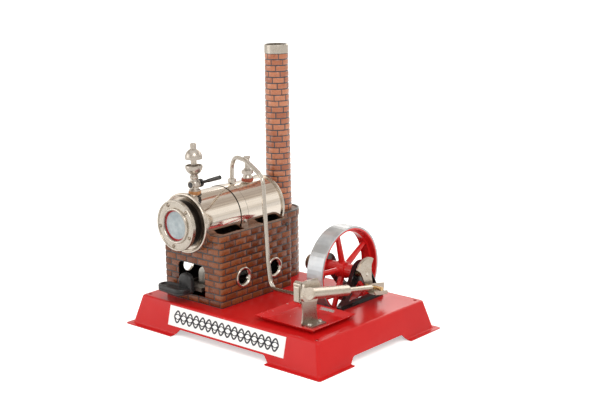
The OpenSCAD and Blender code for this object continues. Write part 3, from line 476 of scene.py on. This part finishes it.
def link_mesh(name, bm):
    mesh = bpy.data.meshes.new(name)
    bm.to_mesh(mesh)
    bm.free()
    obj = bpy.data.objects.new(name, mesh)
    bpy.context.scene.collection.objects.link(obj)
    return obj


def add_piece(name, bm, body, material, replaces=(), smooth_deg=35):
    """A finished piece: smooth but for its real edges, riding on its body."""
    bmesh.ops.recalc_face_normals(bm, faces=bm.faces)
    obj = link_mesh(name, bm)
    obj.data.materials.append(material)
    shade(obj, smooth_deg)
    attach(obj, body)
    if replaces:
        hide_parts(*replaces)
    return obj


def shade(obj, smooth_deg):
    for face in obj.data.polygons:
        face.use_smooth = True
    obj.data.set_sharp_from_angle(angle=math.radians(smooth_deg))


def cut(obj, cutters):
    """Takes the cutters' shapes out of obj for good, and deletes them."""
    for cutter in cutters:
        modifier = obj.modifiers.new("cut", "BOOLEAN")
        modifier.operation = "DIFFERENCE"
        modifier.solver = "EXACT"
        modifier.object = cutter
    depsgraph = bpy.context.evaluated_depsgraph_get()
    mesh = bpy.data.meshes.new_from_object(obj.evaluated_get(depsgraph))
    obj.modifiers.clear()
    old = obj.data
    obj.data = mesh
    bpy.data.meshes.remove(old)
    for cutter in cutters:
        bpy.data.objects.remove(cutter)


def loft(bm, rings):
    """Joins rings of equally many points into a closed skin. Points are in millimetres."""
    made = [[bm.verts.new(Vector(p) * MM) for p in ring] for ring in rings]
    n = len(made[0])
    for a, b in zip(made, made[1:]):
        for i in range(n):
            j = (i + 1) % n
            bm.faces.new((a[i], a[j], b[j], b[i]))
    bm.faces.new(list(reversed(made[0])))
    bm.faces.new(made[-1])


def prism(name, outline, low, high, axis):
    """A cutter: an outline in the plane across axis, from low to high along it."""
    order = {"x": (2, 0, 1), "y": (0, 2, 1), "z": (0, 1, 2)}[axis]

    def place(a, b, c):
        point = (a, b, c)
        return [point[i] for i in order]

    bm = bmesh.new()
    loft(bm, [[place(u, v, w) for u, v in outline] for w in (low, high)])
    bmesh.ops.recalc_face_normals(bm, faces=bm.faces)
    return link_mesh(name, bm)


def arc(cx, cy, r, start, end, steps):
    return [
        (cx + r * math.cos(math.radians(start + (end - start) * i / steps)),
         cy + r * math.sin(math.radians(start + (end - start) * i / steps)))
        for i in range(steps + 1)
    ]


def rounded(half_x, half_y, r, steps=8, cx=0.0, cy=0.0):
    """Corner-rounded rectangle, counter-clockwise, starting at the right of its lower side."""
    x, y = half_x - r, half_y - r
    points = []
    for sx, sy, start in ((1, -1, -90), (1, 1, 0), (-1, 1, 90), (-1, -1, 180)):
        points += arc(cx + sx * x, cy + sy * y, r, start, start + 90, steps)
    return points


def box_mm(node):
    low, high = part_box(node)
    return low / MM, high / MM


# ------------------------------------------------------------------ base

SHEET = 0.9
BASE_TOP_INSET = 9.94       # from the flange's edge to the edge of the top plate
BASE_WALL_INSET = 4.2       # from the flange's edge to the foot of the wall
BASE_CORNER_R = 1.8         # at the flange's edge; it grows a little further in
BASE_CORNER_GROWTH = 0.08
ARCH_H = 5.5
FRONT_ARCH = 46.5
SIDE_ARCH = 31.5
SLOT_X = (32.1, 50.9)
SLOT_Y = (-1.0, 55.6)
CORNER_HOLE = (87.66, 59.36, 1.5)


def base_profile():
    """Outer face of the pressing, from the top plate to the flange's edge: (inset, height)."""
    _, high = box_mm("base_plate")
    lean = math.degrees(math.atan2(BASE_TOP_INSET - BASE_WALL_INSET, high.z))
    shoulder, foot = 1.9, 1.6
    skin = [(BASE_TOP_INSET + shoulder + 2.0, high.z)]
    skin += [(BASE_TOP_INSET + 1.45 - x, z) for x, z in
             arc(0, high.z - shoulder, shoulder, 90, lean, 6)]
    foot_x = BASE_WALL_INSET - 1.35
    skin += [(foot_x + x, z) for x, z in arc(0, SHEET + foot, foot, 0 - lean * 0.9, -90, 6)]
    skin += [(0.25, SHEET), (0.0, SHEET - 0.25)]
    return skin


def base_ring(low, high, inset, z):
    half_x = (high.x - low.x) / 2 - inset
    half_y = (high.y - low.y) / 2 - inset
    radius = BASE_CORNER_R + inset * BASE_CORNER_GROWTH
    return [(x, y, z) for x, y in rounded(half_x, half_y, radius)]


def arch_outline(half, bottom=-2.0):
    """Foot arch: sloped ends with round shoulders."""
    right = [(half + 3.6, bottom), (half + 3.6, 0.0), (half + 2.6, 1.2)]
    right += [(half + 1.9 - 0.45 * i, 1.2 + 0.62 * i) for i in range(1, 4)]
    right += arc(half - 3.4, ARCH_H - 3.6, 3.6, 24, 90, 6)
    return right + [(-x, y) for x, y in reversed(right)]


def make_base():
    low, high = box_mm("base_plate")
    outer = base_profile()
    bm = bmesh.new()
    rings = [base_ring(low, high, inset, z) for inset, z in outer]
    # The underside follows the outer face one sheet thickness below and inside it
    inner = []
    for i, (inset, z) in enumerate(outer):
        before = Vector(outer[max(i - 1, 0)])
        after = Vector(outer[min(i + 1, len(outer) - 1)])
        along = (after - before).normalized()
        inner.append((inset - along.y * SHEET, z + along.x * SHEET))
    inner = [(max(inset, 0.02), max(z, 0.0)) for inset, z in inner]
    inner[-1] = (0.25, 0.0)
    rings += [base_ring(low, high, inset, z) for inset, z in reversed(inner)]
    loft(bm, rings)
    bmesh.ops.recalc_face_normals(bm, faces=bm.faces)
    base = link_mesh("base_pressing", bm)
    slot_mid = (sum(SLOT_X) / 2, sum(SLOT_Y) / 2)
    slot_half = ((SLOT_X[1] - SLOT_X[0]) / 2, (SLOT_Y[1] - SLOT_Y[0]) / 2)
    cutters = [
        prism("cut_front", arch_outline(FRONT_ARCH), -90, 90, "y"),
        prism("cut_side", arch_outline(SIDE_ARCH), -120, 120, "x"),
        prism("cut_slot", rounded(*slot_half, 1.0, 4, *slot_mid), 18, 30, "z"),
    ]
    hx, hy, hr = CORNER_HOLE
    for sx in (-1, 1):
        for sy in (-1, 1):
            circle = arc(sx * hx, sy * hy, hr, 0, 345, 23)
            cutters.append(prism(f"cut_hole_{sx}_{sy}", circle, 18, 30, "z"))
    cut(base, cutters)
    base.data.materials.clear()
    base.data.materials.append(red_enamel())
    shade(base, 32)
    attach(base, "frame")
    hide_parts("base_plate")


# ------------------------------------------------------------------ bricks


class Wall:
    """An outline in plan that bricks are laid along, counter-clockwise, in millimetres."""

    def __init__(self, points, closed, swell=None):
        self.closed = closed
        self.points = [Vector(p) for p in points]
        self.swell = swell or (lambda z: 0.0)
        ends = self.points + ([self.points[0]] if closed else [])
        self.at = [0.0]
        for a, b in zip(ends, ends[1:]):
            self.at.append(self.at[-1] + (b - a).length)
        self.ends = ends
        self.length = self.at[-1]

    def spot(self, s):
        """The point at s and the outward direction there."""
        s = s % self.length if self.closed else min(max(s, 0.0), self.length)
        i = max(k for k in range(len(self.at) - 1) if self.at[k] <= s + 1e-9)
        a, b = self.ends[i], self.ends[i + 1]
        share = (s - self.at[i]) / (self.at[i + 1] - self.at[i])
        out = self.out(i) if share < 1e-6 else self.side(i)
        return a + (b - a) * share, out

    def side(self, i):
        along = (self.ends[i + 1] - self.ends[i]).normalized()
        return Vector((along.y, -along.x))

    def out(self, i):
        last = len(self.at) - 2
        before = self.side(i - 1 if i else (last if self.closed else 0))
        return (before + self.side(i)).normalized()

    def knots(self, s0, s1):
        found = []
        for turn in (-1, 0, 1) if self.closed else (0,):
            found += [k + turn * self.length for k in self.at if s0 < k + turn * self.length < s1]
        return sorted(found)

    def place(self, s, z, out):
        point, away = self.spot(s)
        point = point + away * (out + self.swell(z))
        return Vector((point.x, point.y, z)) * MM


def lay_brick(bm, tone_layer, wall, s0, s1, z0, z1, proud, rng):
    """One embossed brick with rounded edges, sunk a little into the wall behind it."""
    soft = 0.42
    wobble = [rng.uniform(-0.09, 0.09) for _ in range(4)]
    s0, s1 = s0 + wobble[0], s1 + wobble[1]
    z0, z1 = z0 + wobble[2] * 0.6, z1 + wobble[3] * 0.6
    middle = wall.knots(s0 + soft + 0.05, s1 - soft - 0.05)
    columns = [(s0, 0), (s0 + soft, 1)] + [(k, 1) for k in middle] + [(s1 - soft, 1), (s1, 0)]
    rows = [(z0, 0), (z0 + soft, 1), (z1 - soft, 1), (z1, 0)]
    sunk = -0.25
    front = [[bm.verts.new(wall.place(s, z, proud if a and b else 0.06)) for s, a in columns]
             for z, b in rows]
    back = [[bm.verts.new(wall.place(s, z, sunk)) for s, _ in columns] for z in (z0, z1)]
    tone = rng.random()
    faces = []
    for low, high in zip(front, front[1:]):
        for i in range(len(columns) - 1):
            faces.append(bm.faces.new((low[i], low[i + 1], high[i + 1], high[i])))
    for i in range(len(columns) - 1):
        faces.append(bm.faces.new((back[0][i + 1], back[0][i], back[1][i], back[1][i + 1])))
        faces.append(bm.faces.new((back[0][i], back[0][i + 1], front[0][i + 1], front[0][i])))
        faces.append(bm.faces.new((front[-1][i], front[-1][i + 1], back[1][i + 1], back[1][i])))
    left = [row[0] for row in front]
    right = [row[-1] for row in front]
    faces.append(bm.faces.new([back[1][0], back[0][0]] + left))
    faces.append(bm.faces.new([back[0][-1], back[1][-1]] + list(reversed(right))))
    for face in faces:
        face[tone_layer] = tone


def lay_courses(bm, tone_layer, wall, z0, courses, pitch, length, joint, proud, rng, drift=0.0):
    """Rows of bricks, each half a brick on from the row below, and drift of a brick more."""
    for row in range(courses):
        start = (row * 0.5 % 1.0 + row * drift) * length
        low, high = z0 + row * pitch + joint / 2, z0 + (row + 1) * pitch - joint / 2
        if wall.closed:
            count = round(wall.length / length)
            spans = [(start + k * wall.length / count, start + (k + 1) * wall.length / count)
                     for k in range(count)]
        else:
            count = int(wall.length / length) + 3
            first = start % length
            spans = [(first + (k - 1) * length, first + k * length) for k in range(count)]
            spans = [(max(a, 0), min(b, wall.length)) for a, b in spans]
            spans = [(a, b) for a, b in spans if b - a > SHORTEST_BRICK]
        for a, b in spans:
            lay_brick(bm, tone_layer, wall, a + joint / 2, b - joint / 2, low, high, proud, rng)


HOUSE_COURSES = 11
VENT_Y = (-27.4, 8.2)
VENT_Z = 44.3
VENT_RING_R = 8.2
RIVET = (24.2, 76.6)
BRICK_PROUD = 0.32
JOINT = 0.95
SHORTEST_BRICK = 2.4
FIRE_SILL_X = (-61.7, -32.5)
FIRE_SILL_Z = 29.9
FIRE_SHOULDER_X = (-58, -36.2)
FIRE_SHOULDER_Z = 51
FIRE_SHOULDER_R = 3.9
CHIMNEY_COURSES = 27
CHIMNEY_JOINT = 0.95
CHIMNEY_PROUD = 0.25
CHIMNEY_TOP_R = 9.3


def make_house_bricks(material):
    low, high = box_mm("boiler_house")
    centre = (low + high) / 2
    rng = random.Random(11)
    bm = bmesh.new()
    tone = bm.faces.layers.float.new("tone")
    outline = rounded((high.x - low.x) / 2, (high.y - low.y) / 2, 2.0, 5, centre.x, centre.y)
    wall = Wall(outline, True)
    pitch = (high.z - low.z) / HOUSE_COURSES
    lay_courses(bm, tone, wall, low.z, HOUSE_COURSES, pitch, wall.length / 24, JOINT, BRICK_PROUD, rng)
    bmesh.ops.recalc_face_normals(bm, faces=bm.faces)
    bricks = link_mesh("house_bricks", bm)
    drum = box_mm("boiler_drum")
    drum_r = (drum[1].x - drum[0].x) / 2
    drum_z = (drum[0].z + drum[1].z) / 2
    holes = [(y, VENT_Z, VENT_RING_R + 0.15) for y in VENT_Y] + [(*RIVET, 1.75)]
    cutters = [prism("cut_drum", arc(centre.x, drum_z, drum_r + 0.15, 0, 355, 71), -70, 50, "y")]
    fire = [(x, FIRE_SILL_Z) for x in FIRE_SILL_X]
    for x, start in zip(reversed(FIRE_SHOULDER_X), (0, 90)):
        fire += arc(x, FIRE_SHOULDER_Z, FIRE_SHOULDER_R, start, start + 90, 5)
    cutters.append(prism("cut_fire", fire, -60, -45, "y"))
    for i, (y, z, r) in enumerate(holes):
        cutters.append(prism(f"cut_side_{i}", arc(y, z, r, 0, 350, 35), -90, 0, "x"))
    cut(bricks, cutters)
    bricks.data.materials.clear()
    bricks.data.materials.append(material)
    shade(bricks, 60)
    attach(bricks, "frame")


def make_tower_bricks(material):
    low, high = box_mm("chimney_base")
    lip = 0.8
    radius = (high.x - low.x) / 2 - lip
    centre_x = (low.x + high.x) / 2
    centre_y = high.y - lip - radius
    rng = random.Random(23)
    bm = bmesh.new()
    tone = bm.faces.layers.float.new("tone")

    def outline(r):
        return [(centre_x + r, low.y + 0.4)] + arc(centre_x, centre_y, r, 0, 180, 22) + [
            (centre_x - r, low.y + 0.4)]

    pitch = (high.z - low.z) / HOUSE_COURSES
    length = 11.8
    args = (pitch, length, JOINT, BRICK_PROUD, rng)
    lay_courses(bm, tone, Wall(outline(radius), False), low.z, HOUSE_COURSES - 1, *args)
    lay_courses(bm, tone, Wall(outline(radius + lip), False), high.z - 5.9, 1, *args)
    add_piece("chimney_base_bricks", bm, "frame", material, smooth_deg=60)


def make_chimney_bricks(material):
    low, high = box_mm("chimney")
    cap_low, _ = box_mm("chimney_cap")
    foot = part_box("chimney_base_cover")[1].z / MM
    centre = (low + high) / 2
    foot_r = (high.x - low.x) / 2
    rng = random.Random(37)
    bm = bmesh.new()
    tone = bm.faces.layers.float.new("tone")
    wall = Wall([(centre.x + foot_r * math.cos(TAU * i / 48), centre.y + foot_r * math.sin(TAU * i / 48))
                 for i in range(48)], True,
                lambda z: (CHIMNEY_TOP_R - foot_r) * (z - low.z) / (high.z - low.z))
    pitch = (cap_low.z - foot) / CHIMNEY_COURSES
    lay_courses(bm, tone, wall, foot, CHIMNEY_COURSES, pitch, wall.length / 6, CHIMNEY_JOINT,
                CHIMNEY_PROUD, rng, drift=0.13)
    add_piece("chimney_bricks", bm, "frame", material, smooth_deg=60)


# ------------------------------------------------------------------ burner handle


def convex_outline(points):
    """Counter-clockwise convex hull of points in a plane."""
    points = sorted(set(points))

    def half(seq):
        chain = []
        for p in seq:
            while len(chain) > 1 and (
                (chain[-1][0] - chain[-2][0]) * (p[1] - chain[-2][1])
                - (chain[-1][1] - chain[-2][1]) * (p[0] - chain[-2][0])
            ) <= 0:
                chain.pop()
            chain.append(p)
        return chain[:-1]

    return half(points) + half(reversed(points))


def shrunk(outline, by):
    """The outline moved in by a distance, for a convex outline."""
    wall = Wall(outline, True)
    return [tuple(wall.points[i] - wall.out(i) * by) for i in range(len(outline))]


def make_handle(material):
    """Moulded grip: a flat paddle with a dished top and a round tab against the house."""
    low, high = box_mm("burner_handle")
    back = high.y
    slab_top = low.z + 5.4
    corners = arc(low.x + 6.4, low.y + 7.6, 6.4, 90, 280, 16)
    corners += arc(low.x + 23.3, low.y + 6.8, 6.8, 260, 370, 12)
    corners += [(high.x - 0.4, back - 3.5), (high.x - 0.6, back - 0.4), (high.x - 14.6, back - 0.4)]
    outline = convex_outline([(round(x, 3), round(y, 3)) for x, y in corners])
    levels = [(1.6, low.z), (0.5, low.z + 0.35), (0.0, low.z + 1.4), (0.0, low.z + 2.2),
              (0.35, low.z + 2.45), (0.05, low.z + 2.75), (0.0, slab_top - 1.1), (0.35, slab_top - 0.25),
              (1.0, slab_top), (1.6, slab_top - 0.15), (2.3, slab_top - 0.9), (3.6, slab_top - 1.35)]
    bm = bmesh.new()
    loft(bm, [[(x, y, z) for x, y in shrunk(outline, inset)] for inset, z in levels])
    tab_x, tab_z, tab_r = high.x - 7.0, high.z - 7.0, 7.0

    def tab(inset, y):
        arch = arc(tab_x, tab_z, tab_r - inset, 0, 180, 18)
        foot = [(tab_x + side * (tab_r - inset), low.z + 2) for side in (-1, 1)]
        return [(x, y, z) for x, z in arch + foot]

    loft(bm, [tab(inset, y) for inset, y in (
        (2.2, back - 5.4), (1.2, back - 4.9), (0.45, back - 4.2), (0.0, back - 3.2), (0.0, back - 0.8),
        (0.5, back - 0.1))])
    add_piece("burner_grip", bm, "burner", material, ("burner_handle",), 50)


# ------------------------------------------------------------------ label


def make_label_pattern(material):
    """A braid of crossing waves: an ornament that says nothing."""
    low, high = box_mm("label_plate")
    # The label lies on the leaning front wall; its own axes come from its box
    lean = math.atan2(BASE_TOP_INSET - BASE_WALL_INSET, box_mm("base_plate")[1].z)
    length = high.x - low.x
    height = (high.z - low.z) / math.cos(lean)
    up = Vector((0, math.sin(lean), math.cos(lean)))
    out = Vector((0, -math.cos(lean), math.sin(lean)))
    corner = Vector((low.x, low.y, low.z + 0.1))
    bm = bmesh.new()

    def spot(u, v, lift):
        return (corner + Vector((u, 0, 0)) + up * v + out * lift) * MM

    def ribbon(points, width):
        """A raised strip of ink along points (u, v)."""
        count = len(points)
        rows = []
        for i, (u, v) in enumerate(points):
            a = Vector(points[max(i - 1, 0)])
            b = Vector(points[min(i + 1, count - 1)])
            side = Vector((-(b - a).y, (b - a).x)).normalized() * width / 2
            rows.append([bm.verts.new(spot(u + k * side.x, v + k * side.y, lift))
                         for k, lift in ((-1, -0.05), (-1, 0.035), (1, 0.035), (1, -0.05))])
        for a, b in zip(rows, rows[1:]):
            for k in range(4):
                j = (k + 1) % 4
                bm.faces.new((a[k], a[j], b[j], b[k]))
        bm.faces.new(list(reversed(rows[0])))
        bm.faces.new(rows[-1])

    waves, steps = 8, 240
    reach = height / 2 - 3.4
    margin = 6.0
    for sign in (-1, 1):
        for width, stretch in ((1.35, 1.0), (0.7, 0.45)):
            ribbon([(margin + (length - 2 * margin) * i / steps,
                     height / 2 + sign * stretch * reach * math.sin(TAU * waves * i / steps))
                    for i in range(steps + 1)], width)
    add_piece("label_braid", bm, "frame", material, smooth_deg=30)


# ------------------------------------------------------------------ putting it together


def dress(names, material):
    for name in names:
        obj = NODES[name]
        if not obj.data.materials:
            obj.data.materials.append(material)
        for i in range(len(obj.data.materials)):
            obj.data.materials[i] = material


def make_materials():
    strap_low, strap_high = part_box("boiler_strap")
    edges = (strap_low.y - 0.15 * MM, strap_high.y + 0.15 * MM)
    bright = nickel("nickel_bright", 0.20, color=(0.62, 0.565, 0.50))
    # The drum carries painted shade along both edges of the strap
    drum = nickel("nickel_drum", 0.085, color=(0.84, 0.77, 0.69), stretch=(1, 0.05, 1), grain=1.6,
                  stain=0.12, crease_shade=edges)
    turned = nickel("nickel_turned", 0.24, color=(0.56, 0.515, 0.455), grain=3.0, stain=0.2)
    satin = nickel("nickel_satin", 0.30, color=(0.53, 0.475, 0.41), grain=4.0, stain=0.6)
    worn = nickel("nickel_worn", 0.30, color=(0.42, 0.37, 0.32), grain=3.0, stain=0.8)
    dress(["boiler_drum", "boiler_strap"], drum)
    dress(["engine_stand"], worn)
    # The basket's nickel is lighter than the rest: painted light, making up for the shade inside the house
    dress(["fuel_basket"], nickel("nickel_wire_painted_light", 0.35, color=(0.86, 0.82, 0.75), grain=2.0, stain=0.2))
    dress(["gauge_ring", "boiler_back_cap", "chimney_cap"], turned)
    dress(["boiler_front_cap"], neck_painted_shade())
    dull = nickel("nickel_dull", 0.30, color=(0.52, 0.475, 0.425), grain=2.5, stain=0.3)
    dress(["side_vent_rings", "pivot_nut"], bright)
    dress(["whistle_body", "whistle_cup", "whistle_bell", "valve_body", "valve_stem"], dull)
    dress(["steam_pipe", "pipe_union_nut", "pipe_ferrule"],
          nickel("nickel_tube", 0.19, color=(0.53, 0.485, 0.43), grain=4.0, stain=0.2))
    dress(["crank_disc", "port_block", "engine_cylinder", "cylinder_rear_cap", "cylinder_gland", "piston_rod",
           "whistle_stem"], satin)
    dress(["strap_screws", "stand_screws", "valve_spring", "pivot_spring", "pivot_pin", "axle"],
          steel("plain_steel_look", (0.62, 0.58, 0.52), 0.25))
    # Darker brassy gauge screws: partly their own tone, partly painted shade for the slots and recess they
    # lack
    dress(["gauge_screws"], steel("screw_brassy_painted_shade", (0.36, 0.30, 0.24), 0.28))
    dress(["burner_guide", "burner_tray"], steel("heat_stained_steel", (0.16, 0.13, 0.11), 0.45, 3.0))
    dress(["piston", "rod_end_bush", "crank_pin", "bearing_bushes"],
          steel("turned_brass", (0.72, 0.50, 0.25), 0.22))
    dress(["pulley"], steel("pulley_brass", (0.45, 0.36, 0.27), 0.3))
    dress(["label_plate"], label_paper())
    dress(["drip_tray"], tray_enamel())
    dress(["flywheel"], flywheel_two_tone())
    joints = mortar("mortar_dark", (0.034, 0.032, 0.035))
    dress(["boiler_house", "chimney_base"], joints)
    dress(["chimney"], chimney_sheet())
    dress(["house_top", "chimney_base_cover"],
          painted("brown_sheet", (0.15, 0.062, 0.032), 0.34, 6, 0.35))
    black = painted("black_enamel_gloss", (0.012, 0.012, 0.013), 0.12, 5, 0.2, 0.4, 0.03)
    dress(["near_bearing_stand", "far_bearing_stand", "whistle_plug", "whistle_lever", "house_rivets"], black)
    dress(["gauge_glass"], sight_glass())
    dress(["gauge_gasket"], painted("red_seal_rubber", (0.42, 0.015, 0.02), 0.4, 1.5, 0.2))
    dress(["whistle_gasket"], painted("fibre_orange", (0.42, 0.19, 0.07), 0.6, 1.2, 0.3))
    dress(["valve_gasket"], painted("fibre_red", (0.30, 0.06, 0.03), 0.6, 1.2, 0.3))
    dress(["fuel_tablets"], fuel())


make_camera()
make_world()
make_stage()
make_materials()
make_base()
house_brick = brick_face(
    "brick_house", (0.13, 0.034, 0.010), (0.19, 0.053, 0.016), (0.26, 0.082, 0.028))
chimney_brick = brick_face(
    "brick_chimney", (0.34, 0.10, 0.042), (0.45, 0.15, 0.068), (0.54, 0.21, 0.105), coat=0.8)
make_house_bricks(house_brick)
make_tower_bricks(house_brick)
make_chimney_bricks(chimney_brick)
make_handle(painted("black_moulding", (0.016, 0.016, 0.017), 0.36, 2.5, 0.3, 0.0, 0.03))
make_label_pattern(painted("label_ink", (0.02, 0.02, 0.03), 0.4, 2.0, 0.2))

bpy.context.scene.view_settings.view_transform = "Standard"

bpy.context.view_layer.update()
